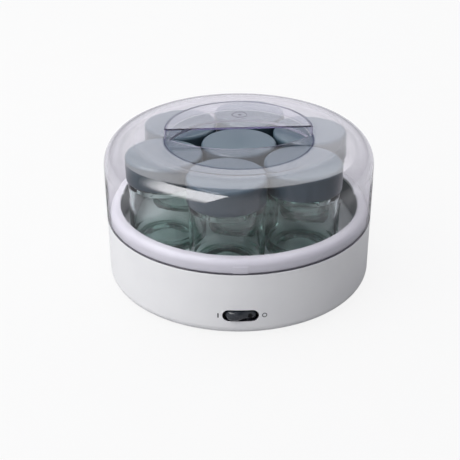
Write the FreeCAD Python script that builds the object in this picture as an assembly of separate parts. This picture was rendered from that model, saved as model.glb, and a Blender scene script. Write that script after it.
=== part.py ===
import FreeCAD, Part
import math
import os

# Round yogurt maker: a base with a warming tub, capped glass jars and a clear dome lid.
# Millimetres, +Z up, front towards -Y. The origin is on the table, under the middle of the base.
Vector = FreeCAD.Vector
CENTRE = Vector(0, 0, 0)
RIGHT = Vector(1, 0, 0)
BACK = Vector(0, 1, 0)
UP = Vector(0, 0, 1)

# Jars: a ring of them around one in the middle
RING_JARS = 6
JAR_TURN = -9.0             # turn of the ring, in degrees from a jar straight in front
JAR_R = 32.2                # glass outside
JAR_H = 79.7
GLASS_T = 2.4               # glass at the neck
NECK_STEP = 1.0             # neck set in from the body
SHOULDER_DROP = 3.5         # shoulder below the open end of the cap
JAR_HEEL = 7.0              # rounding at the foot
JAR_BASE_T = 6.0            # glass under the contents
PUSH_UP_R = 19.0            # hollow under the jar
PUSH_UP_H = 1.5
PUSH_UP_RUN = 3.0           # slope from the hollow to the foot ring

# Jar caps
CAP_T = 2.0
CAP_TOP_T = 2.5
CAP_H = 22.0
CAP_EDGE = 3.0              # rounding of the top edge
CAP_FIT = 0.3               # gap round the neck
CAP_SEAT = 0.3              # gap above the glass
CAP_GAP = 2.5               # gap between neighbouring caps

# Base, from the table up
FOOT_R = 9.0
FOOT_PROUD = 2.0            # base above the table
FOOT_SINK = 1.0             # foot let into the cover
FOOT_FIT = 0.3
FOOT_MARGIN = 7.3           # feet to the heads of the cover screws
COVER_T = 2.2
BAY_H = 36.8                # room under the tub for the heater and wiring
TUB_FLOOR_T = 3.0
TUB_T = 2.0
TUB_DEPTH = 28.5            # tub floor to the top of the rim
TUB_HEEL = 6.0
TUB_MARGIN = 4.4            # caps to the mouth of the tub
SEAT_DEPTH = 1.0            # shallow seat under each jar
SEAT_FIT = 1.2
RIM_H = 11.5                # rim above the ledge that carries the dome
RIM_W = 9.4
RIM_ROUND = 5.5
RIM_LIP = 1.0               # rounding at the mouth
SEAM_H = 0.8                # shadow groove under the edge of the dome
SEAM_W = 1.0
KEY_W = 12.5                # locating key on the front of the rim
KEY_PROUD = 0.5
WALL = 2.4
EDGE_R = 8.0                # rounding of the bottom edge
EDGE_LAND = 1.5             # flat between that rounding and the cover
COVER_FIT = 0.3
FLANGE_W = 5.0              # flange that the cover closes on

# Dome lid and its grip
DOME_T = 2.2
DOME_FIT = 1.0              # rim to the inside of the dome
DOME_ROUND = 25.0           # shoulder of the dome
CAP_HEADROOM = 1.8          # caps to the underside of the dome
RECESS_R = 66.0             # round recess in the top
RECESS_DEPTH = 5.0
RAMP_MARGIN = 6.0           # slope into the recess, to the shoulder
RAMP_REACH = 4.0            # how far its rounded top edge reaches each way
GRIP_TURN = 3.0             # turn of the lid on the base, in degrees
GRIP_RISE = 5.0             # grip plate above the top of the dome
GRIP_T = 2.4
GRIP_FIT = 0.3
GRIP_EDGE = 1.2
FINGER_FRONT = 24.0         # finger opening in front of the grip
FINGER_BACK = 41.0          # finger opening under the grip
FINGER_MARGIN = 1.5         # tips of the opening to the skirt of the grip

# Cover fixings
CORNER_ANGLES = [45, 135, 225, 315]
POST_R = 5.0                # posts that carry the tub, above the feet
BOSS_R = 4.0
BOSS_H = 16.0
BOSS_BITE = 2.0             # boss let into the flange
RIB_T = 2.0
SCREW_R = 1.45
SCREW_PILOT_FIT = 0.05
SCREW_HOLE_FIT = 0.35
SCREW_HEAD_R = 3.2
SCREW_HEAD_H = 1.4
SCREW_BITE = 10.0           # screw length inside its boss
VENT_COUNT = 12
VENT_RING_R = 45.0
VENT_LENGTH = 18.0
VENT_W = 3.0

# Heater under the tub
PLATE_T = 1.6
PLATE_MARGIN = 2.0          # heating plate to the posts
MAT_T = 1.0
MAT_MARGIN = 7.0            # heater mat to the edge of the plate
MAT_HOLE_R = 30.0
PAD_SIZE = 8.0              # connection pads on the mat
PAD_T = 2.0
LIVE_PAD_ANGLE = 10.0
NEUTRAL_PAD_ANGLE = 60.0
STAT_CAP_R = 7.5
STAT_CAP_H = 3.0
STAT_BODY_R = 8.5
STAT_BODY_H = 7.4
BLADE_T = 0.8
BLADE_W = 4.8
BLADE_LENGTH = 7.0
FUSE_R = 2.3
FUSE_LENGTH = 12.0
FUSE_Y = 22.0
FUSE_GAP = 0.1
FUSE_WIRE_R = 0.6
FUSE_WIRE_LENGTH = 6.0
CLIP_T = 0.8
CLIP_FIT = 0.1
CLIP_LENGTH = 7.0
CLIP_TAB = 4.0

# Terminal block, leads and cord gland
BLOCK_W = 26.0
BLOCK_LENGTH = 16.0
BLOCK_H = 12.0
BLOCK_INSET = 46.0          # block in from the back wall
BLOCK_POLE_X = 6.0
BLOCK_BORE_R = 1.6
BLOCK_SCREW_R = 1.8
BLOCK_SCREW_DEPTH = 4.0
LEAD_R = 1.2
LEAD_BITE = 5.0             # lead inside the terminal block
LEAD_BEND = 0.45            # share of the shorter run that a bend uses
LEAD_RUN = 18.0             # straight out of a terminal
LEAD_DROP = 12.0            # straight down from a pad
LEAD_BOW = 20.0             # live lead round the thermostat
GLAND_Z = 22.0
GLAND_BORE_R = 3.5
GLAND_NECK_R = 5.5
GLAND_FLANGE_R = 8.0
GLAND_FLANGE_T = 2.0
GLAND_FIT = 0.2

# Rocker switch in the front wall
SWITCH_Z = 21.3
SLOT_LENGTH = 30.4
SLOT_H = 11.0
ROCKER_FIT = 0.7            # least gap round the rocker in its slot
ROCKER_TILT = 8.0           # each way from level, in degrees
PIVOT_DEPTH = 6.5           # pivot behind the front of the wall
ROCKER_CREST = 8.6          # crests of the face, in front of the pivot
ROCKER_VALLEY = 6.4         # middle of the face, in front of the pivot
ROCKER_REAR = 2.2           # back of the rocker, in front of the pivot
ROCKER_ROUND = 1.6          # rounding of the edges of the face
HUB_R = 3.6
PIN_R = 1.5
PIN_FIT = 0.05
PIN_LENGTH = 2.4
CHEEK_GAP = 0.5
CHEEK_T = 2.2
CHEEK_W = 10.0
CHEEK_NOSE = 2.8            # cheek in front of the pivot
SWITCH_W = 26.0
SWITCH_LENGTH = 12.0
SWITCH_SWING = 6.5          # pivot to the front of the switch block
EAR_X = 21.0                # switch screws from the middle
EAR_R = 4.5
EAR_T = 2.5
EAR_BACK = 3.0              # ears behind the front of the switch block
EAR_POST_R = 3.5
EAR_SCREW_R = 1.25
EAR_HEAD_R = 2.6
EAR_HEAD_H = 1.6
EAR_SCREW_BITE = 7.0
LENS_X = 7.0
LENS_R = 2.0
LENS_FIT = 0.1
LENS_SINK = 2.0
LENS_PROUD = 0.25
SWITCH_POLE_X = 6.0

# Radii that follow
NECK_R = JAR_R - NECK_STEP
JAR_BORE_R = NECK_R - GLASS_T
CAP_BORE_R = NECK_R + CAP_FIT
CAP_R = CAP_BORE_R + CAP_T
RING_R = (2 * CAP_R + CAP_GAP) / (2 * math.sin(math.pi / RING_JARS))
MOUTH_R = RING_R + CAP_R + TUB_MARGIN
RIM_R = MOUTH_R + RIM_W
BODY_R = RIM_R + DOME_FIT + DOME_T
TUB_R = MOUTH_R + TUB_T
TUB_FLANGE_R = RIM_R - RIM_ROUND
COVER_SEAT_R = BODY_R - EDGE_R - EDGE_LAND
COVER_R = COVER_SEAT_R - COVER_FIT
FLANGE_R = COVER_SEAT_R - FLANGE_W
BOSS_RING_R = FLANGE_R - BOSS_R + BOSS_BITE
POST_RING_R = BOSS_RING_R - SCREW_HEAD_R - FOOT_MARGIN - FOOT_R
PLATE_R = POST_RING_R - POST_R - PLATE_MARGIN
MAT_R = PLATE_R - MAT_MARGIN
PAD_RING_R = (MAT_HOLE_R + MAT_R) / 2
BLOCK_Y = BODY_R - BLOCK_INSET
RAMP_R = BODY_R - DOME_ROUND - RAMP_MARGIN
RAMP_HALF_ANGLE = math.atan2(RECESS_DEPTH, RAMP_R - RECESS_R) / 2
RAMP_ROUND = RAMP_REACH / math.tan(RAMP_HALF_ANGLE)
RAMP_SHIFT = DOME_T * math.tan(RAMP_HALF_ANGLE)
GRIP_R = RECESS_R - GRIP_FIT

# Heights that follow
SHOULDER_H = JAR_H + CAP_SEAT + CAP_TOP_T - CAP_H - SHOULDER_DROP
COVER_Z = FOOT_PROUD
BAY_Z = COVER_Z + COVER_T
TUB_Z = BAY_Z + BAY_H
TUB_FLOOR_Z = TUB_Z + TUB_FLOOR_T
JAR_Z = TUB_FLOOR_Z - SEAT_DEPTH
RIM_Z = TUB_FLOOR_Z + TUB_DEPTH
LEDGE_Z = RIM_Z - RIM_H
CAP_TOP_Z = JAR_Z + JAR_H + CAP_SEAT + CAP_TOP_T
CAP_Z = CAP_TOP_Z - CAP_H
RECESS_Z = CAP_TOP_Z + CAP_HEADROOM + DOME_T
DOME_Z = RECESS_Z + RECESS_DEPTH
GRIP_Z = DOME_Z + GRIP_RISE
PLATE_Z = TUB_Z - PLATE_T
MAT_Z = PLATE_Z - MAT_T
STAT_Z = PLATE_Z - STAT_CAP_H - STAT_BODY_H
STAT_BLADE_Z = STAT_Z + STAT_BODY_H / 4
STAT_BLADE_X = STAT_BODY_R + BLADE_LENGTH
FUSE_Z = PLATE_Z - FUSE_GAP - FUSE_R
FUSE_END_X = FUSE_LENGTH / 2 + FUSE_WIRE_LENGTH
BLOCK_BORE_Z = BAY_Z + BLOCK_H / 2

# Switch places that follow
PIVOT = Vector(0, PIVOT_DEPTH - BODY_R, SWITCH_Z)
ROCKER_END_X = SLOT_LENGTH / 2 - ROCKER_FIT - ROCKER_CREST * math.sin(math.radians(ROCKER_TILT))
ROCKER_H = SLOT_H - 2 * ROCKER_FIT
CHEEK_Z = ROCKER_H / 2 + CHEEK_GAP
SWITCH_FRONT = PIVOT.y + SWITCH_SWING
SWITCH_BACK = SWITCH_FRONT + SWITCH_LENGTH
SWITCH_H = 2 * (CHEEK_Z + CHEEK_T)
EAR_Y = SWITCH_FRONT + EAR_BACK
POLE_Y = SWITCH_BACK + BLADE_LENGTH
SIDES = (-1, 1)


def upright(x, z):
    return Vector(x, 0, z)


def in_plan(x, y):
    return Vector(x, y, 0)


def polar(radius, degrees, z):
    angle = math.radians(degrees)
    return Vector(radius * math.cos(angle), radius * math.sin(angle), z)


def corner_arc(before, corner, after, radius):
    """Start, middle and end of the arc that rounds a corner."""
    back = (before - corner).normalize()
    ahead = (after - corner).normalize()
    half = back.getAngle(ahead) / 2
    reach = radius / math.tan(half)
    inward = (back + ahead).normalize()
    middle = corner + inward * (radius / math.sin(half) - radius)
    return corner + back * reach, middle, corner + ahead * reach


def join_edges(stretches, closed):
    """Arcs and corners in order, with straight runs between them."""
    edges = []
    last = stretches[-1][-1] if closed else stretches[0][0]
    for stretch in stretches:
        if (stretch[0] - last).Length > Part.Precision.confusion():
            edges.append(Part.LineSegment(last, stretch[0]).toShape())
        if len(stretch) == 3:
            edges.append(Part.Arc(*stretch).toShape())
        last = stretch[-1]
    return Part.Wire(edges)


def outline(corners, place):
    """Closed face through (a, b, radius) corners, each rounded by its radius."""
    points = [place(a, b) for a, b, radius in corners]
    stretches = []
    for i, (a, b, radius) in enumerate(corners):
        after = points[(i + 1) % len(points)]
        if radius:
            stretches.append(corner_arc(points[i - 1], points[i], after, radius))
        else:
            stretches.append((points[i],))
    return Part.Face(join_edges(stretches, True))


def lathe(corners, degrees=360):
    return outline(corners, upright).revolve(CENTRE, UP, degrees)


def cylinder(radius, length, foot, axis=UP):
    return Part.makeCylinder(radius, length, foot, axis)


def box(low, high):
    size = high - low
    return Part.makeBox(size.x, size.y, size.z, low)


def stadium(length, width, place):
    """Slot outline, centred, with round ends."""
    half = (length - width) / 2
    side = width / 2
    ends = [place(half, side), place(-half, side), place(-half, -side), place(half, -side)]
    edges = [Part.LineSegment(ends[0], ends[1]).toShape()]
    edges.append(Part.Arc(ends[1], place(-half - side, 0), ends[2]).toShape())
    edges.append(Part.LineSegment(ends[2], ends[3]).toShape())
    edges.append(Part.Arc(ends[3], place(half + side, 0), ends[0]).toShape())
    return Part.Face(Part.Wire(edges))


def placed(shape, shift, degrees=0):
    """Copy of a shape, turned about +Z through the origin and then moved."""
    copy = shape.copy()
    copy.rotate(CENTRE, UP, degrees)
    copy.translate(shift)
    return copy


def jar_places():
    """Foot of each jar: the ring from the front, then the middle."""
    step = 360 / RING_JARS
    ring = [polar(RING_R, JAR_TURN - 90 + step * i, JAR_Z) for i in range(RING_JARS)]
    return ring + [Vector(0, 0, JAR_Z)]


def make_jar():
    foot_ring = PUSH_UP_R + PUSH_UP_RUN
    lip = GLASS_T / 3
    return lathe([
        (0, PUSH_UP_H, 0),
        (PUSH_UP_R, PUSH_UP_H, PUSH_UP_H),
        (foot_ring, 0, 0),
        (JAR_R, 0, JAR_HEEL),
        (JAR_R, SHOULDER_H, NECK_STEP),
        (NECK_R, SHOULDER_H + NECK_STEP, 0),
        (NECK_R, JAR_H, lip),
        (JAR_BORE_R, JAR_H, lip),
        (JAR_BORE_R, JAR_BASE_T, JAR_BASE_T),
        (0, JAR_BASE_T, 0),
    ])


def make_cap():
    """Jar cap with its open end at height 0."""
    return lathe([
        (CAP_BORE_R, 0, 0),
        (CAP_R, 0, CAP_T / 3),
        (CAP_R, CAP_H, CAP_EDGE),
        (0, CAP_H, 0),
        (0, CAP_H - CAP_TOP_T, 0),
        (CAP_BORE_R, CAP_H - CAP_TOP_T, 0),
    ])


def make_dome():
    """Dome of even thickness whose top slopes gently down to the floor of the recess."""
    under = DOME_Z - DOME_T
    inside = BODY_R - DOME_T
    dome = lathe([
        (BODY_R, LEDGE_Z, 0),
        (BODY_R, DOME_Z, DOME_ROUND),
        (RAMP_R, DOME_Z, RAMP_ROUND),
        (RECESS_R, RECESS_Z, 0),
        (0, RECESS_Z, 0),
        (0, RECESS_Z - DOME_T, 0),
        (RECESS_R + RAMP_SHIFT, RECESS_Z - DOME_T, DOME_T),
        (RAMP_R + RAMP_SHIFT, under, RAMP_ROUND - DOME_T),
        (inside, under, DOME_ROUND - DOME_T),
        (inside, LEDGE_Z, 0),
    ])
    return dome.cut(finger_opening())


def finger_opening():
    """Lens between two arcs, right through the floor of the recess under the grip's edge."""
    tip = GRIP_R - GRIP_T - FINGER_MARGIN
    ends = [Vector(-tip, 0, 0), Vector(tip, 0, 0)]
    near = Part.Arc(ends[0], Vector(0, -FINGER_FRONT, 0), ends[1]).toShape()
    far = Part.Arc(ends[1], Vector(0, FINGER_BACK, 0), ends[0]).toShape()
    lens = Part.Face(Part.Wire([near, far])).extrude(UP * DOME_T * 3)
    return placed(lens, UP * (RECESS_Z - DOME_T * 2), GRIP_TURN)


def make_grip():
    """Half-moon plate on a half-round skirt, open in front for the fingers."""
    half_moon = lathe([
        (0, GRIP_Z - GRIP_T, 0),
        (GRIP_R - GRIP_T, GRIP_Z - GRIP_T, GRIP_EDGE),
        (GRIP_R - GRIP_T, RECESS_Z, 0),
        (GRIP_R, RECESS_Z, 0),
        (GRIP_R, GRIP_Z, GRIP_EDGE),
        (0, GRIP_Z, 0),
    ], 180)
    return placed(half_moon.removeSplitter(), CENTRE, GRIP_TURN)


def make_housing():
    bottom = BAY_Z + WALL
    housing = lathe([
        (COVER_SEAT_R, COVER_Z, 0),
        (BODY_R, COVER_Z, EDGE_R),
        (BODY_R, LEDGE_Z - SEAM_H, WALL / 8),
        (BODY_R - SEAM_W, LEDGE_Z - SEAM_H, 0),
        (BODY_R - SEAM_W, LEDGE_Z, 0),
        (RIM_R, LEDGE_Z, 0),
        (RIM_R, RIM_Z, RIM_ROUND),
        (MOUTH_R, RIM_Z, RIM_LIP),
        (MOUTH_R, RIM_Z - WALL, 0),
        (RIM_R - WALL, RIM_Z - WALL, RIM_ROUND - WALL),
        (RIM_R - WALL, LEDGE_Z - WALL, 0),
        (BODY_R - WALL, LEDGE_Z - WALL, 0),
        (BODY_R - WALL, bottom, EDGE_R - WALL),
        (FLANGE_R, bottom, 0),
        (FLANGE_R, BAY_Z, 0),
        (COVER_SEAT_R, BAY_Z, 0),
    ])
    housing = housing.fuse([make_rim_key()] + screw_bosses() + ear_posts())
    holes = boss_pilots() + ear_pilots() + [switch_slot(), gland_hole()]
    return housing.cut(holes).removeSplitter()


def make_rim_key():
    """Low flat key that stops the dome from being put on askew."""
    low = Vector(-KEY_W / 2, -RIM_R - KEY_PROUD, LEDGE_Z)
    high = Vector(KEY_W / 2, -RIM_R + WALL / 2, RIM_Z - RIM_ROUND)
    return box(low, high)


def screw_bosses():
    """Bosses on the bottom flange, each with a rib to the wall."""
    mid_wall = BODY_R - WALL / 2
    inside = lathe([
        (0, COVER_Z, 0),
        (mid_wall, COVER_Z, EDGE_R),
        (mid_wall, LEDGE_Z, 0),
        (0, LEDGE_Z, 0),
    ])
    bosses = []
    for angle in CORNER_ANGLES:
        bosses.append(cylinder(BOSS_R, BOSS_H, polar(BOSS_RING_R, angle, BAY_Z)))
        low = Vector(BOSS_RING_R, -RIB_T / 2, BAY_Z + WALL / 2)
        high = Vector(mid_wall, RIB_T / 2, BAY_Z + BOSS_H)
        bosses.append(placed(box(low, high).common(inside), CENTRE, angle))
    return bosses


def boss_pilots():
    radius = SCREW_R + SCREW_PILOT_FIT
    return [cylinder(radius, BOSS_H, polar(BOSS_RING_R, a, BAY_Z)) for a in CORNER_ANGLES]


def ear_posts():
    """Posts behind the front wall that the switch is screwed to."""
    start = -math.sqrt((BODY_R - WALL / 2) ** 2 - (EAR_X - EAR_POST_R) ** 2) + WALL / 2
    posts = []
    for side in SIDES:
        foot = Vector(side * EAR_X, start, SWITCH_Z)
        posts.append(cylinder(EAR_POST_R, EAR_Y - start, foot, BACK))
    return posts


def ear_pilots():
    radius = EAR_SCREW_R + SCREW_PILOT_FIT
    depth = EAR_SCREW_BITE + WALL / 2
    mouths = [Vector(side * EAR_X, EAR_Y - depth, SWITCH_Z) for side in SIDES]
    return [cylinder(radius, depth, mouth, BACK) for mouth in mouths]


def switch_slot():
    slot = stadium(SLOT_LENGTH, SLOT_H, upright).extrude(BACK * PIVOT_DEPTH * 2)
    return placed(slot, Vector(0, -BODY_R - PIVOT_DEPTH, SWITCH_Z))


def gland_hole():
    foot = Vector(0, BODY_R - WALL * 2, GLAND_Z)
    return cylinder(GLAND_NECK_R + GLAND_FIT, WALL * 4, foot, BACK)


def make_tub():
    """Bowl under the rim, with a shallow seat for each jar."""
    flange_z = RIM_Z - WALL
    tub = lathe([
        (0, TUB_Z, 0),
        (TUB_R, TUB_Z, TUB_HEEL),
        (TUB_R, flange_z - TUB_T, 0),
        (TUB_FLANGE_R, flange_z - TUB_T, 0),
        (TUB_FLANGE_R, flange_z, 0),
        (MOUTH_R, flange_z, 0),
        (MOUTH_R, TUB_FLOOR_Z, TUB_HEEL),
        (0, TUB_FLOOR_Z, 0),
    ])
    heel_inset = JAR_HEEL - math.sqrt(JAR_HEEL ** 2 - (JAR_HEEL - SEAT_DEPTH) ** 2)
    seat_r = JAR_R - heel_inset + SEAT_FIT
    return tub.cut([cylinder(seat_r, SEAT_DEPTH, place) for place in jar_places()])


def make_cover():
    cover = cylinder(COVER_R, COVER_T, UP * COVER_Z)
    post = cylinder(POST_R, TUB_Z - BAY_Z, UP * BAY_Z)
    cover = cover.fuse([placed(post, polar(POST_RING_R, angle, 0)) for angle in CORNER_ANGLES])
    holes = []
    for angle in CORNER_ANGLES:
        holes.append(cylinder(FOOT_R + FOOT_FIT, FOOT_SINK, polar(POST_RING_R, angle, COVER_Z)))
        holes.append(cylinder(SCREW_R + SCREW_HOLE_FIT, COVER_T, polar(BOSS_RING_R, angle, COVER_Z)))
    vent = placed(stadium(VENT_LENGTH, VENT_W, in_plan).extrude(UP * COVER_T), RIGHT * VENT_RING_R)
    for i in range(VENT_COUNT):
        holes.append(placed(vent, UP * COVER_Z, 360 / VENT_COUNT * i))
    return cover.cut(holes)


def make_foot():
    height = FOOT_PROUD + FOOT_SINK
    return lathe([
        (0, 0, 0),
        (FOOT_R, 0, FOOT_PROUD / 2),
        (FOOT_R, height, 0),
        (0, height, 0),
    ])


def make_screw(radius, length, head_r, head_h):
    """Pan-head screw pointing up, with the underside of its head at height 0."""
    return lathe([
        (0, -head_h, 0),
        (head_r, -head_h, head_h / 2),
        (head_r, 0, 0),
        (radius, 0, 0),
        (radius, length, 0),
        (0, length, 0),
    ])


def make_cover_screws():
    screw = make_screw(SCREW_R, COVER_T + SCREW_BITE, SCREW_HEAD_R, SCREW_HEAD_H)
    places = [polar(BOSS_RING_R, angle, COVER_Z) for angle in CORNER_ANGLES]
    return Part.makeCompound([placed(screw, place) for place in places])


def make_heater_mat():
    """Ring-shaped heater under the plate, with its two connection pads."""
    mat = cylinder(MAT_R, MAT_T, UP * MAT_Z).cut(cylinder(MAT_HOLE_R, MAT_T, UP * MAT_Z))
    half = PAD_SIZE / 2
    pad = box(Vector(-half, -half, MAT_Z - PAD_T), Vector(half, half, MAT_Z))
    angles = [LIVE_PAD_ANGLE, NEUTRAL_PAD_ANGLE]
    return mat.fuse([placed(pad, polar(PAD_RING_R, angle, 0)) for angle in angles])


def make_thermostat():
    """Disc thermostat against the plate, with a blade on each side."""
    body = lathe([
        (0, STAT_Z, 0),
        (STAT_BODY_R, STAT_Z, 1),
        (STAT_BODY_R, STAT_Z + STAT_BODY_H, 0),
        (STAT_CAP_R, STAT_Z + STAT_BODY_H, 0),
        (STAT_CAP_R, PLATE_Z, 0),
        (0, PLATE_Z, 0),
    ])
    low = Vector(-STAT_BLADE_X, -BLADE_W / 2, STAT_BLADE_Z - BLADE_T / 2)
    high = Vector(STAT_BLADE_X, BLADE_W / 2, STAT_BLADE_Z + BLADE_T / 2)
    return body.fuse(box(low, high))


def make_fuse():
    """Axial thermal fuse under the plate."""
    body = cylinder(FUSE_R, FUSE_LENGTH, Vector(-FUSE_LENGTH / 2, FUSE_Y, FUSE_Z), RIGHT)
    wire = cylinder(FUSE_WIRE_R, 2 * FUSE_END_X, Vector(-FUSE_END_X, FUSE_Y, FUSE_Z), RIGHT)
    return body.fuse(wire)


def make_fuse_clip():
    """Saddle that holds the fuse to the plate by two tabs."""
    inner = FUSE_R + CLIP_FIT
    outer = inner + CLIP_T
    foot = Vector(-CLIP_LENGTH / 2, FUSE_Y, FUSE_Z)
    low = foot - Vector(0, outer, 0)
    sleeve = cylinder(outer, CLIP_LENGTH, foot, RIGHT)
    sides = box(low, Vector(CLIP_LENGTH / 2, FUSE_Y + outer, PLATE_Z))
    tab_low = Vector(foot.x, FUSE_Y - outer - CLIP_TAB, PLATE_Z - CLIP_T)
    tabs = box(tab_low, Vector(CLIP_LENGTH / 2, FUSE_Y + outer + CLIP_TAB, PLATE_Z))
    well = box(foot - Vector(0, inner, 0), Vector(CLIP_LENGTH / 2, FUSE_Y + inner, FUSE_Z + outer))
    saddle = sleeve.fuse([sides, tabs])
    return saddle.cut([cylinder(inner, CLIP_LENGTH, foot, RIGHT), well]).removeSplitter()


def make_terminal_block():
    low = Vector(-BLOCK_W / 2, BLOCK_Y - BLOCK_LENGTH / 2, BAY_Z)
    high = Vector(BLOCK_W / 2, BLOCK_Y + BLOCK_LENGTH / 2, BAY_Z + BLOCK_H)
    holes = []
    for side in SIDES:
        mouth = Vector(side * BLOCK_POLE_X, low.y, BLOCK_BORE_Z)
        holes.append(cylinder(BLOCK_BORE_R, BLOCK_LENGTH, mouth, BACK))
        well = Vector(mouth.x, BLOCK_Y, high.z - BLOCK_SCREW_DEPTH)
        holes.append(cylinder(BLOCK_SCREW_R, BLOCK_SCREW_DEPTH, well))
    return box(low, high).cut(holes)


def make_gland():
    """Flanged grommet in the back wall, where a mains lead would enter."""
    sag = BODY_R - WALL - math.sqrt((BODY_R - WALL) ** 2 - GLAND_FLANGE_R ** 2)
    inner = BODY_R - WALL - sag - GLAND_FIT
    outer = BODY_R + GLAND_FIT
    grommet = lathe([
        (GLAND_BORE_R, inner - GLAND_FLANGE_T, 0),
        (GLAND_FLANGE_R, inner - GLAND_FLANGE_T, 0),
        (GLAND_FLANGE_R, inner, 0),
        (GLAND_NECK_R, inner, 0),
        (GLAND_NECK_R, outer, 0),
        (GLAND_FLANGE_R, outer, 0),
        (GLAND_FLANGE_R, outer + GLAND_FLANGE_T, GLAND_FLANGE_T / 2),
        (GLAND_BORE_R, outer + GLAND_FLANGE_T, 0),
    ])
    grommet.rotate(CENTRE, RIGHT, -90)
    return placed(grommet, UP * GLAND_Z)


def make_switch_body():
    """Switch block with two cheeks for the rocker's pins and two screw ears."""
    half_w = SWITCH_W / 2
    half_h = SWITCH_H / 2
    low = Vector(-half_w, SWITCH_FRONT, SWITCH_Z - half_h)
    high = Vector(half_w, SWITCH_BACK, SWITCH_Z + half_h)
    ears = stadium(2 * (EAR_X + EAR_R), 2 * EAR_R, upright).extrude(BACK * EAR_T)
    block = box(low, high).fuse(placed(ears, Vector(0, EAR_Y, SWITCH_Z)))
    for side in SIDES:
        middle = SWITCH_Z + side * (CHEEK_Z + CHEEK_T / 2)
        cheek_low = Vector(-CHEEK_W / 2, PIVOT.y - CHEEK_NOSE, middle - CHEEK_T / 2)
        block = block.fuse(box(cheek_low, Vector(CHEEK_W / 2, SWITCH_FRONT, middle + CHEEK_T / 2)))
    pin_bore = cylinder(PIN_R + PIN_FIT, SWITCH_H, PIVOT - UP * half_h)
    screw_holes = [
        cylinder(EAR_SCREW_R + SCREW_HOLE_FIT, EAR_T, Vector(side * EAR_X, EAR_Y, SWITCH_Z), BACK)
        for side in SIDES
    ]
    return block.cut([pin_bore] + screw_holes).removeSplitter()


def make_switch_screws():
    screw = make_screw(EAR_SCREW_R, EAR_T + EAR_SCREW_BITE, EAR_HEAD_R, EAR_HEAD_H)
    screw.rotate(CENTRE, RIGHT, 90)
    places = [Vector(side * EAR_X, EAR_Y + EAR_T, SWITCH_Z) for side in SIDES]
    return Part.makeCompound([placed(screw, place) for place in places])


def make_switch_terminals():
    blades = []
    for side in SIDES:
        low = Vector(side * SWITCH_POLE_X - BLADE_T / 2, SWITCH_BACK, SWITCH_Z - BLADE_W / 2)
        blades.append(box(low, Vector(low.x + BLADE_T, POLE_Y, SWITCH_Z + BLADE_W / 2)))
    return Part.makeCompound(blades)


def mirrored(point):
    return Vector(-point.x, point.y, point.z)


def rocker_plan():
    """Hollow face in front and a hub round the pivot behind."""
    crest = Vector(ROCKER_END_X, -ROCKER_CREST, 0)
    rear = Vector(ROCKER_END_X, -ROCKER_REAR, 0)
    hub = Vector(math.sqrt(HUB_R ** 2 - ROCKER_REAR ** 2), -ROCKER_REAR, 0)
    return Part.Face(join_edges([
        (mirrored(crest), Vector(0, -ROCKER_VALLEY, 0), crest),
        (rear,),
        (hub, Vector(0, HUB_R, 0), mirrored(hub)),
        (mirrored(rear),),
    ], True))


def level_rocker():
    """Rocker about its own pivot, before it is tipped to off."""
    slab = placed(rocker_plan().extrude(UP * ROCKER_H), UP * (-ROCKER_H / 2))
    mask = stadium(2 * ROCKER_END_X, ROCKER_H, upright).extrude(BACK * (ROCKER_CREST + HUB_R))
    slab = slab.common(placed(mask, BACK * -ROCKER_CREST))
    face = min(slab.Faces, key=lambda each: each.CenterOfMass.y)
    slab = slab.makeFillet(ROCKER_ROUND, face.Edges)
    pin_foot = UP * (-ROCKER_H / 2 - PIN_LENGTH)
    return slab.fuse(cylinder(PIN_R, ROCKER_H + 2 * PIN_LENGTH, pin_foot)).removeSplitter()


def lens_seat():
    """Front of the lens in the rocker's face, seen from the pivot."""
    hollow = ROCKER_CREST - ROCKER_VALLEY
    bend = (ROCKER_END_X ** 2 + hollow ** 2) / (2 * hollow)
    return Vector(LENS_X, math.sqrt(bend ** 2 - LENS_X ** 2) - bend - ROCKER_VALLEY, 0)


def tipped(shape):
    """A piece of the rocker in its off position."""
    return placed(placed(shape, CENTRE, ROCKER_TILT), PIVOT)


def make_rocker():
    seat = lens_seat()
    well = cylinder(LENS_R + LENS_FIT, LENS_SINK + ROCKER_CREST, seat - BACK * ROCKER_CREST, BACK)
    return tipped(level_rocker().cut(well))


def make_lens():
    seat = lens_seat()
    return tipped(cylinder(LENS_R, LENS_SINK + LENS_PROUD, seat - BACK * LENS_PROUD, BACK))


def make_lead(points):
    """Insulated wire along straight runs, each bend as large as its runs allow."""
    stretches = [(points[0],)]
    for before, corner, after in zip(points, points[1:], points[2:]):
        turn = (corner - before).getAngle(after - corner)
        shorter = min((corner - before).Length, (after - corner).Length)
        radius = LEAD_BEND * shorter / math.tan(turn / 2)
        stretches.append(corner_arc(before, corner, after, radius))
    stretches.append((points[-1],))
    path = join_edges(stretches, False)
    section = Part.Wire(Part.makeCircle(LEAD_R, points[0], points[1] - points[0]))
    return path.makePipeShell([section], True, True)


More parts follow.
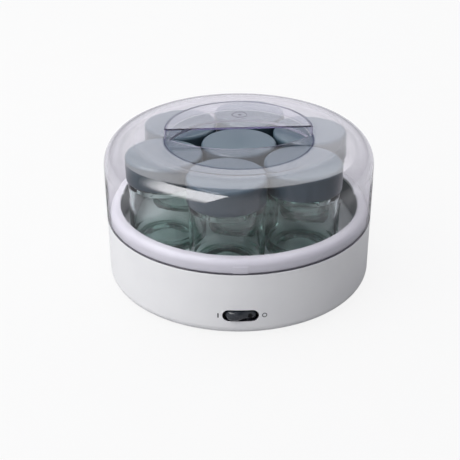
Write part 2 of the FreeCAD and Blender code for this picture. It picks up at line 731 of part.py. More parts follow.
def lead_routes():
    """Points of each lead, from one terminal to the next."""
    block_front = BLOCK_Y - BLOCK_LENGTH / 2
    live = Vector(-BLOCK_POLE_X, block_front + LEAD_BITE, BLOCK_BORE_Z)
    neutral = Vector(BLOCK_POLE_X, block_front + LEAD_BITE, BLOCK_BORE_Z)
    pole_in = Vector(-SWITCH_POLE_X, POLE_Y, SWITCH_Z)
    pole_out = Vector(SWITCH_POLE_X, POLE_Y, SWITCH_Z)
    stat_in = Vector(STAT_BLADE_X, 0, STAT_BLADE_Z)
    stat_out = Vector(-STAT_BLADE_X, 0, STAT_BLADE_Z)
    fuse_in = Vector(-FUSE_END_X, FUSE_Y, FUSE_Z)
    fuse_out = Vector(FUSE_END_X, FUSE_Y, FUSE_Z)
    live_pad = polar(PAD_RING_R, LIVE_PAD_ANGLE, MAT_Z - PAD_T)
    neutral_pad = polar(PAD_RING_R, NEUTRAL_PAD_ANGLE, MAT_Z - PAD_T)
    ahead = BACK * -LEAD_RUN
    aside = RIGHT * LEAD_RUN
    down = UP * -LEAD_DROP
    crossing = (pole_in - ahead - live - ahead) / 3
    bow = live + ahead + crossing - RIGHT * LEAD_BOW
    elbow = (pole_out - ahead + stat_in + aside) / 2
    elbow.x = stat_in.x + LEAD_RUN
    return {
        "lead_live": [live, live + ahead, bow, bow + crossing, pole_in - ahead, pole_in],
        "lead_switched": [pole_out, pole_out - ahead, elbow, stat_in + aside, stat_in],
        "lead_thermostat": [stat_out, stat_out - aside, fuse_in - aside, fuse_in],
        "lead_heater": [fuse_out, fuse_out + aside / 2, live_pad + down, live_pad],
        "lead_neutral": [neutral_pad, neutral_pad + down, neutral + ahead, neutral],
    }


def make_parts():
    parts = {
        "housing": make_housing(),
        "warming_tub": make_tub(),
        "bottom_cover": make_cover(),
        "cover_screws": make_cover_screws(),
        "heating_plate": cylinder(PLATE_R, PLATE_T, UP * PLATE_Z),
        "heater_mat": make_heater_mat(),
        "thermostat": make_thermostat(),
        "thermal_fuse": make_fuse(),
        "fuse_clip": make_fuse_clip(),
        "terminal_block": make_terminal_block(),
        "cord_gland": make_gland(),
        "switch_body": make_switch_body(),
        "switch_screws": make_switch_screws(),
        "switch_terminals": make_switch_terminals(),
        "rocker": make_rocker(),
        "pilot_lens": make_lens(),
        "dome_lid": make_dome(),
        "lid_grip": make_grip(),
    }
    for name, points in lead_routes().items():
        parts[name] = make_lead(points)
    for i, angle in enumerate(CORNER_ANGLES, 1):
        parts[f"foot_{i}"] = placed(make_foot(), polar(POST_RING_R, angle, 0))
    for i, place in enumerate(jar_places(), 1):
        parts[f"jar_{i}"] = placed(make_jar(), place)
        parts[f"jar_cap_{i}"] = placed(make_cap(), place + UP * (CAP_Z - JAR_Z))
    return parts


os.makedirs("parts", exist_ok=True)
for node, shape in make_parts().items():
    shape.exportStep(f"parts/{node}.step")
    print(node, len(shape.Solids), "solids", round(shape.Volume / 1000, 2), "cm3", shape.isValid())
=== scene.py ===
# %% [markdown]
# # A yogurt maker, from its solids to its picture
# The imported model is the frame: every solid is already in its place, in metres, with +Z up and the
# front towards -Y. It could be imported by hand and lined up by eye.

# %% Load the frame
import math

import bmesh
import bpy
from mathutils import Matrix, Vector


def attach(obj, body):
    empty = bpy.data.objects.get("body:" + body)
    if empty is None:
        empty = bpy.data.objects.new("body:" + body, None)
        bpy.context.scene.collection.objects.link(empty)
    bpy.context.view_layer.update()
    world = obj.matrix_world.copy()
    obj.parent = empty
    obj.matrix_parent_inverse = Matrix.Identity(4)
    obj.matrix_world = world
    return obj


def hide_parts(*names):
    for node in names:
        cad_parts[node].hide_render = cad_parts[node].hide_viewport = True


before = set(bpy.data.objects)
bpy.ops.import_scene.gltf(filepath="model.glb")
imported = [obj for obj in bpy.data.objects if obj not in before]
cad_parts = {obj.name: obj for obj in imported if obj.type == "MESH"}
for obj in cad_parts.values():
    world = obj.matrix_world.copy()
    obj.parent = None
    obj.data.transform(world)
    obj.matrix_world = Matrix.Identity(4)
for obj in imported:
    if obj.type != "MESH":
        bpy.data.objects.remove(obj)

MM = 0.001
scene = bpy.context.scene
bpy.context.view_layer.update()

# %% [markdown]
# ## Camera
# The picture was taken from a little above, with a long lens. A camera could be dragged about until
# the outlines agree. Here its distance, tilt and focal length come from the ellipses of the rim,
# the seam and the caps, so the numbers are written down. The lens shift puts the line of sight
# a little off the middle, as cropping a picture does.

# %% Place the camera
PICTURE = 460                       # pixels along each side
FOCAL_PIXELS = 929.0
SIGHT_PIXELS = (238.9, 213.0)       # where the line of sight meets the picture
SIGHT = Vector((0, 0, 54.5 * MM))
CAMERA_PLACE = Vector((-8.9 * MM, -759.8 * MM, 452.0 * MM))
SENSOR = 36

camera = bpy.data.objects.new("picture_camera", bpy.data.cameras.new("picture_camera"))
camera.data.sensor_width = SENSOR
camera.data.lens = FOCAL_PIXELS / PICTURE * SENSOR
camera.data.shift_x = (PICTURE / 2 - SIGHT_PIXELS[0]) / PICTURE
camera.data.shift_y = (SIGHT_PIXELS[1] - PICTURE / 2) / PICTURE
camera.location = CAMERA_PLACE
camera.rotation_euler = (SIGHT - CAMERA_PLACE).to_track_quat("-Z", "Y").to_euler()
scene.collection.objects.link(camera)
scene.camera = camera
scene.view_settings.view_transform = "Standard"
print("lens", round(camera.data.lens, 1), "mm")

# %% [markdown]
# ## Shader maths
# A material is a net of nodes. Nodes could be added and linked one line at a time, which soon hides
# what is meant. This small class wraps a socket, so that `1 - mask` or `0.3 + 0.1 * grain` adds the
# Math nodes by itself. All other nodes come from its one method, settings first and sockets after.


# %% Define the socket wrapper
class Signal:
    """One output of a node. Arithmetic on it adds Math nodes."""

    def __init__(self, tree, socket=None):
        self.tree = tree
        self.socket = socket

    def node(self, kind, sockets=None, output=0, **settings):
        """Adds a node: its settings first, then the values or links of its sockets."""
        made = self.tree.nodes.new(kind)
        for name, value in settings.items():
            setattr(made, name, value)
        for key, value in (sockets or {}).items():
            if isinstance(value, Signal):
                self.tree.links.new(value.socket, made.inputs[key])
            else:
                made.inputs[key].default_value = value
        return Signal(self.tree, made.outputs[output] if len(made.outputs) else None)

    def math(self, operation, first, second):
        return self.node("ShaderNodeMath", {0: first, 1: second}, operation=operation)

    def __add__(self, other):
        return self.math("ADD", self, other)

    def __sub__(self, other):
        return self.math("SUBTRACT", self, other)

    def __rsub__(self, other):
        return self.math("SUBTRACT", other, self)

    def __mul__(self, other):
        return self.math("MULTIPLY", self, other)

    __radd__ = __add__
    __rmul__ = __mul__


print("socket wrapper ready")

# %% [markdown]
# ## Words for the nodes
# Every finish below asks for the same few things: a place on the piece, soft noise, a mask with a
# soft edge, a blend of two colours, a bump. They could be written out each time. Short functions
# give each of them a name instead, and a finish then reads as a recipe.


# %% Define the helpers for finishes
def new_finish(name):
    """An empty material and the bench on which its nodes are made."""
    material = bpy.data.materials.new(name)
    material.use_nodes = True
    material.node_tree.nodes.clear()
    return material, Signal(material.node_tree)


def own_place(bench):
    """Object coordinates: metres from the origin, the same on solids and new pieces."""
    return bench.node("ShaderNodeTexCoord", output="Object")


def part_of(bench, vector, axis):
    """The X, Y or Z part of a vector."""
    return bench.node("ShaderNodeSeparateXYZ", {0: vector}, output=axis)


def along(bench, vector, direction):
    """How far a vector goes in a direction."""
    return bench.node("ShaderNodeVectorMath", {0: vector, 1: direction}, output="Value",
                      operation="DOT_PRODUCT")


def grain(bench, place, size, detail=2.0, stretch=(1, 1, 1)):
    """Soft noise from 0 to 1 whose lumps are about `size` millimetres."""
    spread = bench.node("ShaderNodeMapping", {"Vector": place, "Scale": stretch})
    return bench.node("ShaderNodeTexNoise", {"Vector": spread, "Scale": 1 / (size * MM), "Detail": detail},
                      output="Fac")


def between(bench, value, start, end):
    """0 below start, 1 above end, and a smooth step between them."""
    return bench.node("ShaderNodeMapRange", {"Value": value, "From Min": start, "From Max": end},
                      interpolation_type="SMOOTHSTEP")


def blend_colours(bench, share, first, second):
    """The first colour where share is 0, the second where it is 1."""
    return bench.node("ShaderNodeMix", {0: share, 6: first, 7: second}, output=2, data_type="RGBA")


def relief(bench, height, depth):
    """A bump of that depth in millimetres where height goes from 0 to 1."""
    return bench.node("ShaderNodeBump", {"Height": height, "Distance": depth * MM, "Strength": 1.0})


def close_finish(bench, shader):
    bench.node("ShaderNodeOutputMaterial", {"Surface": shader})


print("helpers for finishes ready")

# %% [markdown]
# ## Floor
# A product picture has a white ground. More light would whiten the floor, and would also wash the
# object out. So the floor is pale, and rays that come straight from the camera, or through clear
# plastic, see it nearly white, with the shadow still on it.


# %% Lay the floor
WHITE = (1, 1, 1, 1)
FLOOR_HALF = 4
PAPER_GRAIN = 40                    # millimetres
PAPER_TONES = ((0.44, 0.44, 0.45, 1), (0.48, 0.48, 0.49, 1))
FLOOR_GLOW = {"Is Camera Ray": 0.88, "Is Transmission Ray": 0.06, "Is Glossy Ray": 0.05}


def mesh_object(name, shape):
    """A bmesh becomes an object at the origin."""
    mesh = bpy.data.meshes.new(name)
    shape.to_mesh(mesh)
    shape.free()
    made = bpy.data.objects.new(name, mesh)
    scene.collection.objects.link(made)
    return made


def share_of_rays(bench, shares):
    """For each kind of ray, the share of it that sees the white ground."""
    return sum(share * bench.node("ShaderNodeLightPath", output=ray) for ray, share in shares.items())


floor_finish, bench = new_finish("pale_floor")
paper_tone = blend_colours(bench, grain(bench, own_place(bench), PAPER_GRAIN), *PAPER_TONES)
paper = bench.node("ShaderNodeBsdfPrincipled", {"Base Color": paper_tone, "Roughness": 0.8})
glow = bench.node("ShaderNodeEmission", {"Color": WHITE, "Strength": 1.0})
seen = share_of_rays(bench, FLOOR_GLOW)
close_finish(bench, bench.node("ShaderNodeMixShader", {0: seen, 1: paper, 2: glow}))

shape = bmesh.new()
bmesh.ops.create_grid(shape, x_segments=1, y_segments=1, size=FLOOR_HALF)
floor = mesh_object("floor", shape)
floor.data.materials.append(floor_finish)
print("floor", 2 * FLOOR_HALF, "m across")

# %% [markdown]
# ## Room
# A clear dome mirrors the whole room, so the room is part of the picture. An evenly bright world
# would lie on the dome as haze. So the room is nearly dark, with a bright sweep behind the object
# that grows with height, and a weaker one in front and a little to the left.

# %% Paint the room
ROOM_COLOUR = (0.95, 0.96, 1, 1)
ROOM_LIGHT = 0.07
SWEEP_LIGHT = 1.0
SWEEP_SIDES = (0.2, 0.75)           # soft edges, as parts of a direction of length 1
SWEEP_RISE = (-0.05, 0.42)
SWEEP_FOOT = 0.25                   # share of the sweep at the height of the floor
FRONT = (-0.3, -0.95, 0.1)
FRONT_SIDES = (0.2, 0.8)
FRONT_SHARE = 0.56
GROUND_RAYS = {"Is Camera Ray": 1.0, "Is Transmission Ray": 0.3, "Is Glossy Ray": 0.05}

world = bpy.data.worlds.new("studio")
world.use_nodes = True
world.node_tree.nodes.clear()
scene.world = world
bench = Signal(world.node_tree)
heading = bench.node("ShaderNodeTexCoord", output="Generated")
behind = between(bench, part_of(bench, heading, "Y"), *SWEEP_SIDES)
height = between(bench, part_of(bench, heading, "Z"), *SWEEP_RISE)
before = between(bench, along(bench, heading, FRONT), *FRONT_SIDES)
room = bench.node("ShaderNodeBackground", {"Color": ROOM_COLOUR, "Strength": ROOM_LIGHT})
sweep = bench.node("ShaderNodeBackground", {"Color": ROOM_COLOUR, "Strength": SWEEP_LIGHT})
ground = bench.node("ShaderNodeBackground", {"Color": WHITE, "Strength": 1.0})
lit = behind * (SWEEP_FOOT + (1 - SWEEP_FOOT) * height) + FRONT_SHARE * before
studio = bench.node("ShaderNodeMixShader", {0: lit, 1: room, 2: sweep})
seen = share_of_rays(bench, GROUND_RAYS)
bench.node("ShaderNodeOutputWorld", {
    "Surface": bench.node("ShaderNodeMixShader", {0: seen, 1: studio, 2: ground}),
})
print("room with", len(world.node_tree.nodes), "nodes")

# %% [markdown]
# ## Key scrim
# The main light is a large sheet of cloth with a lamp behind it, high at the front left. An area lamp
# would do for the light alone, but its mirror image in the shoulder of the dome would have a hard
# outline. So it is a mesh that glows, and the glow fades towards its left side and its lower edge,
# which are then soft in the mirror image as well.

# %% Hang the key scrim
KEY_PLACE = Vector((-0.885, -0.62, 1.3))
KEY_TARGET = Vector((0, 0, 0.12))
KEY_ROLL = 6                        # degrees
KEY_REACH = (-1.25, 0.625)          # its left and right side, from its place
KEY_HEIGHT = 1.12
KEY_GLOW = 6.6
KEY_SIDE_FADE = (-1.25, -0.35)      # where the glow grows from the left, from its place
KEY_FOOT_FADE = (-0.56, -0.1)       # and from below
KEY_DIM = (0.08, 0.08, 0.08, 1)


def fade_on_key(bench, direction, fade):
    """From 0 to 1 in one direction of the scrim, measured from its place."""
    start = direction.dot(KEY_PLACE)
    return between(bench, along(bench, own_place(bench), direction), start + fade[0], start + fade[1])


def hang_scrim(name, shape, finish):
    """A glowing sheet that lights the object and isn't in the picture."""
    scrim = mesh_object(name, shape)
    scrim.data.materials.append(finish)
    scrim.visible_camera = False
    print("hung", name)


key_turn = (KEY_TARGET - KEY_PLACE).to_track_quat("-Z", "Y").to_matrix()
stand = key_turn @ Matrix.Rotation(math.radians(KEY_ROLL), 3, "Z")
key_finish, bench = new_finish("glowing_key")
lit = fade_on_key(bench, stand.col[0], KEY_SIDE_FADE) * fade_on_key(bench, stand.col[1], KEY_FOOT_FADE)
key_colour = blend_colours(bench, lit, KEY_DIM, WHITE)
close_finish(bench, bench.node("ShaderNodeEmission", {"Color": key_colour, "Strength": KEY_GLOW}))

shape = bmesh.new()
bmesh.ops.create_grid(shape, x_segments=1, y_segments=1, size=0.5)
bmesh.ops.scale(shape, verts=shape.verts, vec=(KEY_REACH[1] - KEY_REACH[0], KEY_HEIGHT, 1))
bmesh.ops.translate(shape, verts=shape.verts, vec=(sum(KEY_REACH) / 2, 0, 0))
bmesh.ops.transform(shape, verts=shape.verts, matrix=Matrix.Translation(KEY_PLACE) @ stand.to_4x4())
hang_scrim("key_scrim", shape, key_finish)

# %% [markdown]
# ## Top scrim
# A second sheet hangs above and behind. It lights the caps from above, and their flat tops mirror it.
# A rectangle would show its corners there, so it is an ellipse. It dims towards the back, so that
# the tops have a gentle gradient.

# %% Hang the top scrim
TOP_PLACE = (0, 1.48, 1.3)
TOP_HALF = (1.8, 1.4, 1)
TOP_GLOW = 2.5
TOP_FADE = (0.1, 1.9)
TOP_DIM = (0.45, 0.45, 0.46, 1)

top_finish, bench = new_finish("glowing_scrim")
backwards = between(bench, part_of(bench, own_place(bench), "Y"), *TOP_FADE)
top_colour = blend_colours(bench, backwards, WHITE, TOP_DIM)
close_finish(bench, bench.node("ShaderNodeEmission", {"Color": top_colour, "Strength": TOP_GLOW}))

shape = bmesh.new()
bmesh.ops.create_circle(shape, cap_ends=True, radius=1, segments=64)
bmesh.ops.scale(shape, verts=shape.verts, vec=TOP_HALF)
bmesh.ops.translate(shape, verts=shape.verts, vec=TOP_PLACE)
hang_scrim("top_scrim", shape, top_finish)

# %% [markdown]
# ## Moulded plastics
# The base, the tub and the caps are moulded plastic. A flat colour would look like paint in a
# drawing program. Real mouldings vary a little in tone, have a fine spark-eroded grain that catches
# the light, and are a little more polished where hands and cloths rub them. One function makes
# such a finish from a colour, a grain and a gloss, and each plastic sets its own numbers.


# %% Define moulded plastic
CLOUD_SIZE = 38                     # patches of another tone, in millimetres
RUB_SIZE = 9                        # patches that are rubbed
RUB_DEPTH = 0.1                     # how much the roughness differs between them


def moulded(name, colour, darker, gloss, grain_size, grain_depth, coat=0.0, accent=None, shine=0.5):
    """Moulded plastic: two close tones, fine grain, and gloss that wanders."""
    material, bench = new_finish(name)
    place = own_place(bench)
    cloud = grain(bench, place, CLOUD_SIZE, 3)
    rubbed = grain(bench, place, RUB_SIZE, 4)
    tone = blend_colours(bench, between(bench, cloud, 0.3, 0.75), (*colour, 1), (*darker, 1))
    if accent:
        tone = accent(bench, place, tone)
    texture = grain(bench, place, grain_size, 2)
    close_finish(bench, bench.node("ShaderNodeBsdfPrincipled", {
        "Base Color": tone,
        "Roughness": gloss + RUB_DEPTH * rubbed,
        "Specular IOR Level": shine,
        "Coat Weight": coat,
        "Coat Roughness": 0.2,
        "Normal": relief(bench, texture, grain_depth),
    }))
    return material


def dress(material, *nodes):
    """Gives solids that stay as they are their finish."""
    for node in nodes:
        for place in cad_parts[node].material_slots:
            place.material = material


print("moulded plastic ready")

# %% [markdown]
# ## Painted shade and light on the mouldings
# Some mouldings get a second tone in place of light and shade. The groove under the dome and the slot
# of the switch are painted dark as shade, the floor of the tub is painted paler than its wall as light,
# with painted shade in the seats under the jars, and the side of a cap is painted darker than its top
# as shade. Each could be a piece of its own, but the solids are whole. So masks on the height and on the
# distance from the axis pick the place, and a second tone is blended in there.


# %% Define the accents
GROOVE_FLOOR = (60.1, 60.25)        # soft edges, each from its start to its end in millimetres
GROOVE_ROOF = (61.02, 61.1)
GROOVE_MOUTH = (119.6, 119.9)
SLOT_FLOOR = (14.6, 15)
SLOT_ROOF = (27.4, 27.8)
SLOT_MOUTH = (119.5, 119.8)
SLOT_BACK = (-114.5, -113.5)
SEAT_EDGE = (43.3, 43.7)
TUB_HEEL = (45.5, 48.5)
CAP_SHOULDER = (121, 124.8)
# dark tone painted as shade in the groove under the dome and in the slot of the switch
GAP_SHADE_TONE = (0.03, 0.028, 0.042, 1)
# painted shade in the seats under the jars, and painted light on the floor of the tub
SEAT_SHADE_TONE = (0.66, 0.67, 0.67, 1)
TUB_FLOOR_LIGHT_TONE = (0.84, 0.85, 0.85, 1)
# darker tone painted as shade on the side of a cap
CAP_SIDE_SHADE_TONE = (0.034, 0.056, 0.072, 1)


def past(bench, value, edge):
    """1 past a soft edge, 0 short of it."""
    return between(bench, value, edge[0] * MM, edge[1] * MM)


def short_of(bench, value, edge):
    """1 short of a soft edge, 0 past it."""
    return 1 - past(bench, value, edge)


def level(bench, place):
    """Height above the table."""
    return part_of(bench, place, "Z")


def from_axis(bench, place):
    """Distance from the axis of the whole object."""
    flat = bench.node("ShaderNodeVectorMath", {0: place, 1: (1, 1, 0)}, operation="MULTIPLY")
    return bench.node("ShaderNodeVectorMath", {0: flat}, output="Value", operation="LENGTH")


def painted_gap_shade(bench, place, tone):
    """Painted shade: a dark tone in the groove under the dome and in the slot of the switch."""
    height = level(bench, place)
    away = from_axis(bench, place)
    groove = (past(bench, height, GROOVE_FLOOR) * short_of(bench, height, GROOVE_ROOF)
              * short_of(bench, away, GROOVE_MOUTH))
    slot = (past(bench, height, SLOT_FLOOR) * short_of(bench, height, SLOT_ROOF)
            * short_of(bench, away, SLOT_MOUTH) * short_of(bench, part_of(bench, place, "Y"), SLOT_BACK))
    return blend_colours(bench, groove + slot, tone, GAP_SHADE_TONE)


def painted_light_on_tub_floor(bench, place, tone):
    """Painted light on the tub's floor, painted shade in the seats of the jars; the wall stays grey."""
    height = level(bench, place)
    lit_floor_tone = blend_colours(bench, past(bench, height, SEAT_EDGE), SEAT_SHADE_TONE, TUB_FLOOR_LIGHT_TONE)
    return blend_colours(bench, past(bench, height, TUB_HEEL), lit_floor_tone, tone)


def painted_cap_side_shade(bench, place, tone):
    """Painted shade: the side of a cap is darker than its top."""
    return blend_colours(bench, past(bench, level(bench, place), CAP_SHOULDER), CAP_SIDE_SHADE_TONE, tone)


print("accents ready")

# %% [markdown]
# ## Plastics of the outside
# The base is glossy white, the tub grey, the caps slate with a satin sheen, and the feet and the gland
# are rubber. The polished black waits for the rocker, which is shaped later. Painting each solid by
# hand would take five materials with much in common. With the steps above, each plastic is one call.

# %% Mix the plastics
white_shell = moulded("white_shell", (0.80, 0.80, 0.81), (0.77, 0.77, 0.785), gloss=0.3, grain_size=0.5,
                      grain_depth=0.004, coat=0.2, accent=painted_gap_shade)
grey_tub = moulded("grey_tub", (0.145, 0.158, 0.172), (0.125, 0.138, 0.152), gloss=0.32, grain_size=0.4,
                   grain_depth=0.006, accent=painted_light_on_tub_floor)
slate_cap = moulded("slate_cap", (0.064, 0.103, 0.132), (0.058, 0.095, 0.122), gloss=0.25, grain_size=0.5,
                    grain_depth=0.0015, coat=0.25, accent=painted_cap_side_shade)
black_switch = moulded("black_switch", (0.026, 0.03, 0.038), (0.02, 0.024, 0.032), gloss=0.24,
                       grain_size=0.3, grain_depth=0.002, coat=0.6, shine=0.3)
black_rubber = moulded("black_rubber", (0.022, 0.022, 0.022), (0.04, 0.039, 0.038), gloss=0.62,
                       grain_size=0.6, grain_depth=0.02)
dress(white_shell, "housing", "bottom_cover")
dress(grey_tub, "warming_tub")
dress(slate_cap, *[f"jar_cap_{i}" for i in range(1, 8)])
dress(black_rubber, "cord_gland", *[f"foot_{i}" for i in range(1, 5)])
print("plastics on housing, cover, tub, caps, gland and feet")

# %% [markdown]
# ## Clear plastic and glass
# The dome and the jars bend light, so a see-through colour isn't enough: real refraction draws the
# dark lines at the edges and the green shapes in the jars. Its price is that lamps can't be sampled
# through it, and the inside would be dark and noisy. So rays that only ask for light, the shadow
# and diffuse rays, pass straight through with a tint, and all others bend.


# %% Define clear material
SMEAR_SIZE = 17                     # patches touched by fingers, in millimetres
SMEAR_DEPTH = 0.03                  # what a smear adds to the roughness


def see_through(name, tint, light_tint, ior, roughness, wave, depth, calm=None, films=()):
    """Refracting for what the eye sees, and plainly tinted for the light that passes.

    `wave` is the size and depth of the ripples, `depth` the colour and density of the bulk. Where the
    mask `calm` is 1, nothing is mirrored. Each film is a mask and the colour laid on there.
    """
    material, bench = new_finish(name)
    place = own_place(bench)
    ripple = relief(bench, grain(bench, place, wave[0], 1), wave[1])
    smear = between(bench, grain(bench, place, SMEAR_SIZE, 3), 0.55, 0.8)
    clear = bench.node("ShaderNodeBsdfPrincipled", {
        "Base Color": (*tint, 1),
        "Roughness": roughness + SMEAR_DEPTH * smear,
        "IOR": ior,
        "Transmission Weight": 1.0,
        "Normal": ripple,
    })
    if calm:
        plain = bench.node("ShaderNodeBsdfRefraction", {
            "Color": (*tint, 1), "Roughness": roughness, "IOR": ior, "Normal": ripple,
        })
        clear = bench.node("ShaderNodeMixShader", {0: calm(bench, place), 1: clear, 2: plain})
    for mask, colour in films:
        film = bench.node("ShaderNodeBsdfDiffuse", {"Color": (*colour, 1)})
        clear = bench.node("ShaderNodeMixShader", {0: mask(bench, place), 1: clear, 2: film})
    light = bench.node("ShaderNodeBsdfTransparent", {"Color": (*light_tint, 1)})
    asks = (bench.node("ShaderNodeLightPath", output="Is Shadow Ray")
            + bench.node("ShaderNodeLightPath", output="Is Diffuse Ray"))
    surface = bench.node("ShaderNodeMixShader", {0: asks, 1: clear, 2: light})
    bulk = bench.node("ShaderNodeVolumeAbsorption", {"Color": (*depth[0], 1), "Density": depth[1]})
    bench.node("ShaderNodeOutputMaterial", {"Surface": surface, "Volume": bulk})
    return material


print("clear material ready")

# %% [markdown]
# ## Calm places and thin films
# A perfect dome mirrors everything, also its own grip, as a ghost in the slope round the recess. A
# rougher dome would lose the ghost and its crisp streak with it. So masks choose where the dome only
# refracts, and thin films of plain colour are painted on: a pale veil on the slope as a painted
# reflection, dark lines as painted shade in its corner and on the rim of the half moon, and on cut
# faces a pale film that is partly their frosted look and partly a painted highlight.


# %% Define the masks
RECESS_EDGE = (65.6, 66.4)          # soft edges in millimetres, as before
SLOPE_START = (66.4, 68)
SLOPE_END = (89, 98)
TOP_FACES = (118, 122)
WALL_END = (96, 112)
CORNER_IN = (65.0, 65.8)
CORNER_OUT = (66.4, 67.2)
CORNER_FLOOR = (128.8, 129.2)
RIM_IN = (64.5, 65.1)
RIM_FLOOR = (138.4, 138.8)
CALM_RECESS = 0.55                  # shares of the surface that only refract
CALM_SLOPE = 0.85
CALM_WALL = 0.65
VEIL_SHARE = 0.13                  # shares of the films
CORNER_SHARE = 0.5
RIM_SHARE = 0.75
FILM_SHARE = 0.45
FILM_SPREAD = 0.3
FILM_GRAIN = 1.5


def calm_places(bench, place):
    """The recess, the slope into it and the straight wall mirror less than the shoulder of the dome."""
    height = level(bench, place)
    away = from_axis(bench, place)
    inside = short_of(bench, away, RECESS_EDGE)
    slope = (1 - inside) * short_of(bench, away, SLOPE_END) * past(bench, height, TOP_FACES)
    wall = short_of(bench, height, WALL_END)
    return CALM_RECESS * inside + CALM_SLOPE * slope + CALM_WALL * wall


def painted_veil_on_slope(bench, place):
    """Painted reflection: a pale veil on the slope, where the mask takes the mirror image away."""
    away = from_axis(bench, place)
    return (VEIL_SHARE * past(bench, away, SLOPE_START) * short_of(bench, away, SLOPE_END)
            * past(bench, level(bench, place), TOP_FACES))


def painted_corner_shade(bench, place):
    """Painted shade: a thin dark line in the sharp corner at the foot of the slope."""
    away = from_axis(bench, place)
    return (CORNER_SHARE * past(bench, away, CORNER_IN) * short_of(bench, away, CORNER_OUT)
            * past(bench, level(bench, place), CORNER_FLOOR))


def painted_rim_shade(bench, place):
    """Painted shade: a dark line on the rounded edge of the half moon, as on the edge of any clear sheet.
    """
    return (RIM_SHARE * past(bench, from_axis(bench, place), RIM_IN)
            * past(bench, level(bench, place), RIM_FLOOR))


def grainy_film_share(bench, place):
    """Grainy share of a film: on cut faces partly frosted look, partly painted highlight."""
    return FILM_SHARE + FILM_SPREAD * grain(bench, place, FILM_GRAIN, 2)


print("masks ready")

# %% [markdown]
# ## Dome plastic, jar glass and cut faces
# The dome is a clear plastic with a breath of violet in its depth, the jars are greenish glass. Their
# colour could be a tint of the surface, but then thick and thin places would look alike. Absorption
# in the bulk makes the thick heel of a jar and the edge of the grip deeper, as in the real ones.

# %% Mix the clear plastic and the glass
VIOLET = (0.62, 0.55, 0.86)
GREENISH = (0.56, 0.7, 0.665)
# dark lines painted as shade, in the corner of the recess and on the rim of the half moon
PAINTED_LINE_SHADE = (0.05, 0.04, 0.09)
FROST_TINT = (0.93, 0.92, 0.97)
SHADE_TINT = (0.95, 0.95, 0.96)     # light that passes a grip or a cut face
MOULD_WAVE = (30, 0.02)
GLASS_WAVE = (14, 0.05)
BOUNCES = 32                        # a view through the dome and two jars meets many walls

# on the dome, the pale veil on the slope is a painted reflection
clear_dome = see_through("clear_dome", (0.924, 0.919, 0.93), (0.975, 0.975, 0.98), ior=1.57, roughness=0.01,
                         wave=MOULD_WAVE, depth=(VIOLET, 30), calm=calm_places,
                         films=[(painted_veil_on_slope, (0.9, 0.9, 0.92)), (painted_corner_shade, PAINTED_LINE_SHADE)])
# the dark line on the rim of the grip is painted shade
clear_grip = see_through("clear_grip", (0.98, 0.975, 0.99), SHADE_TINT, ior=1.57, roughness=0.01,
                         wave=MOULD_WAVE, depth=(VIOLET, 36), films=[(painted_rim_shade, PAINTED_LINE_SHADE)])
jar_glass = see_through("jar_glass", (0.97, 0.985, 0.98), (0.95, 0.97, 0.965), ior=1.52, roughness=0.0,
                        wave=GLASS_WAVE, depth=(GREENISH, 120))
# cut faces: a pale film, partly their frosted look and partly a painted highlight
frosted_edge_and_highlight = see_through("frosted_edge_and_highlight", FROST_TINT, SHADE_TINT, ior=1.3, roughness=0.35,
                           wave=MOULD_WAVE, depth=(VIOLET, 4), films=[(grainy_film_share, (0.66, 0.64, 0.76))])
# on the gate mark the same grainy film is dark and draws the ring and the dot
gate_clear = see_through("gate_clear", FROST_TINT, SHADE_TINT, ior=1.45, roughness=0.2,
                         wave=MOULD_WAVE, depth=(VIOLET, 4), films=[(grainy_film_share, (0.1, 0.09, 0.14))])
scene.cycles.transparent_max_bounces = 24
scene.cycles.max_bounces = 40
scene.cycles.glossy_bounces = BOUNCES
scene.cycles.transmission_bounces = BOUNCES
print("clear finishes ready")

# %% [markdown]
# ## Turning on the lathe
# The dome and the jars are round. Circles could be stacked and bridged, but their profile is what
# a maker draws: a few corners, each with its rounding. So the profile is drawn flat, single
# corners are bevelled, and the outline is spun about the axis and merged where it closes.


# %% Make the lathe
MERGE = 1e-7                        # metres


def draw_profile(shape, corners):
    """A face in the XZ plane from (radius, height, rounding) corners in millimetres."""
    points = [shape.verts.new((r * MM, 0, z * MM)) for r, z, rounding in corners]
    places = [point.co.copy() for point in points]
    shape.faces.new(points)
    for i, (r, z, rounding) in enumerate(corners):
        if rounding:
            back = places[i - 1] - places[i]
            ahead = places[(i + 1) % len(places)] - places[i]
            cut = rounding * MM / math.tan(back.angle(ahead) / 2)
            bmesh.ops.bevel(shape, geom=[points[i]], offset=cut, offset_type="OFFSET", affect="VERTICES",
                            segments=5 + int(rounding), profile=0.5, material=-1)


def on_axis(edge):
    return all(vert.co.xy.length < MERGE for vert in edge.verts)


def spin_outline(shape, steps):
    """Spins the outline of the drawn face all the way round."""
    bmesh.ops.delete(shape, geom=shape.faces[:], context="FACES_ONLY")
    bmesh.ops.delete(shape, geom=[e for e in shape.edges if on_axis(e)], context="EDGES")
    bmesh.ops.spin(shape, geom=shape.verts[:] + shape.edges[:], cent=(0, 0, 0), axis=(0, 0, 1),
                   angle=math.tau, steps=steps, use_merge=True)
    bmesh.ops.remove_doubles(shape, verts=shape.verts, dist=MERGE)


print("lathe ready")

# %% [markdown]
# ## Finishing a piece
# A bmesh only holds points and faces. To be a piece it is closed, its faces are turned outwards, its
# crisp edges are marked, and it gets a finish and the body that carries it. The weighted normals
# keep broad faces flat beside small roundings, which a plain smooth shading would smear.


